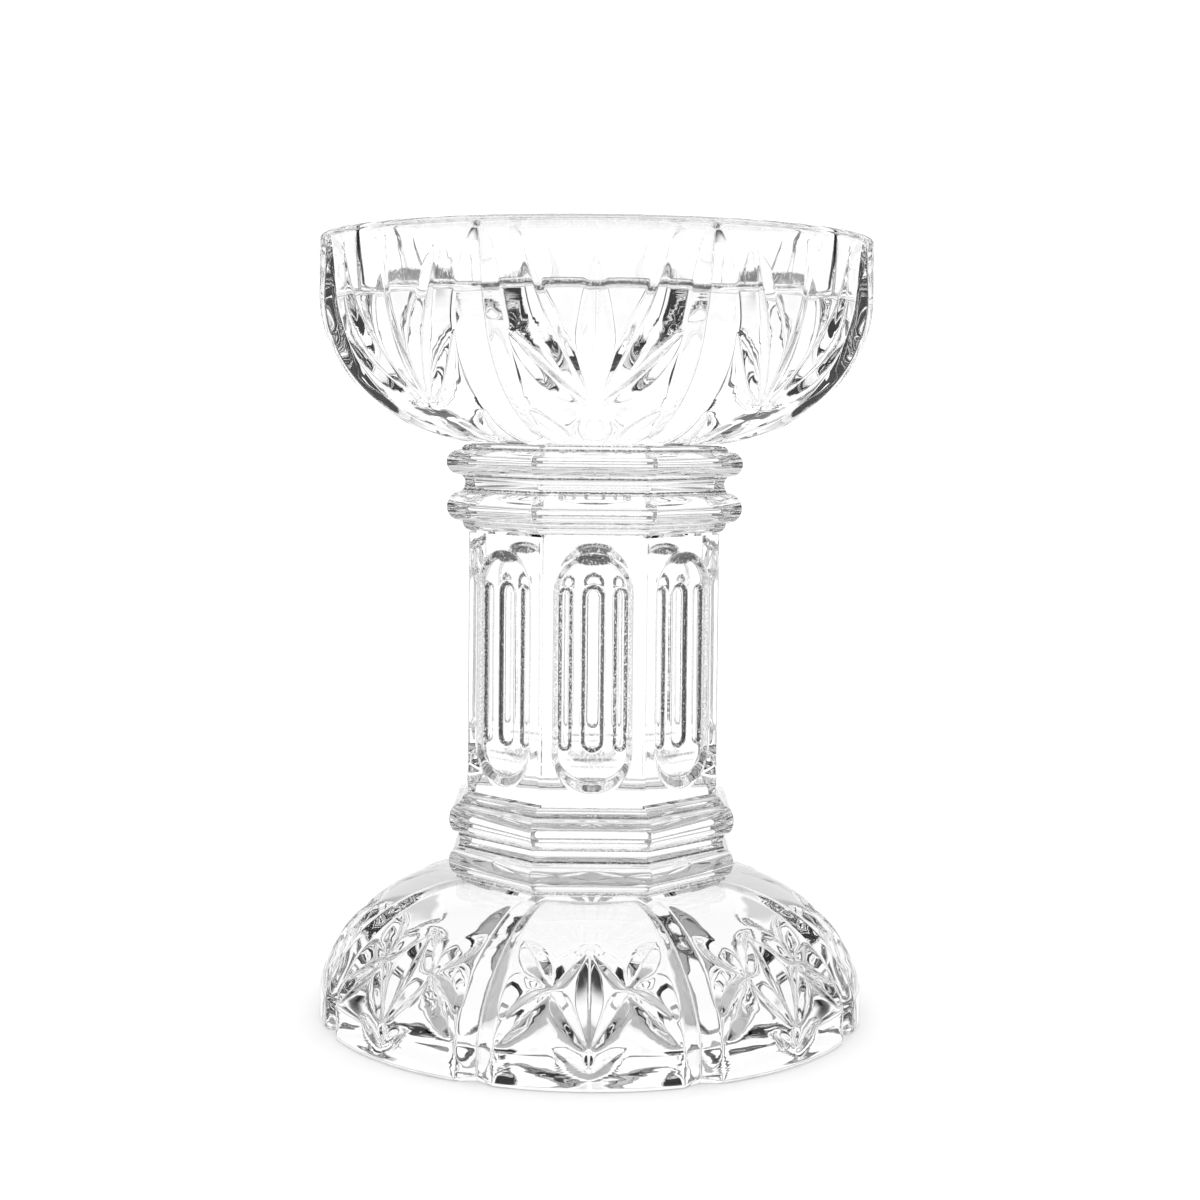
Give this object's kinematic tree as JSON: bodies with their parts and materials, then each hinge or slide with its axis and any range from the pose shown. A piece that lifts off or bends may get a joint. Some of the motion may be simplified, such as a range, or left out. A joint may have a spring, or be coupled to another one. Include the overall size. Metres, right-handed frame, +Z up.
{
  "type": "glass candlestick",
  "caption": "Cut crystal pillar candle holder: shallow fluted bowl on a panelled octagonal column with beaded collars and a domed, star-cut foot.",
  "frame": {"origin": "centre of the foot's rim, on the surface that the candlestick stands on", "axes": "+Z up along the column's axis; one face of the octagonal column and the middle of one bowl sector look along -Y"},
  "size_m": [0.1084, 0.1084, 0.1524],
  "materials": {
    "crystal": "clear, fire-polished",
    "adhesive": "clear cured film"
  },
  "bodies": {
    "root": {"candle_bowl": "crystal", "upper_collar": "crystal", "column": "crystal", "lower_collar": "crystal", "domed_foot": "crystal", "bowl_bond": "adhesive", "column_top_bond": "adhesive", "column_base_bond": "adhesive", "foot_bond": "adhesive"}
  },
  "joints": []
}
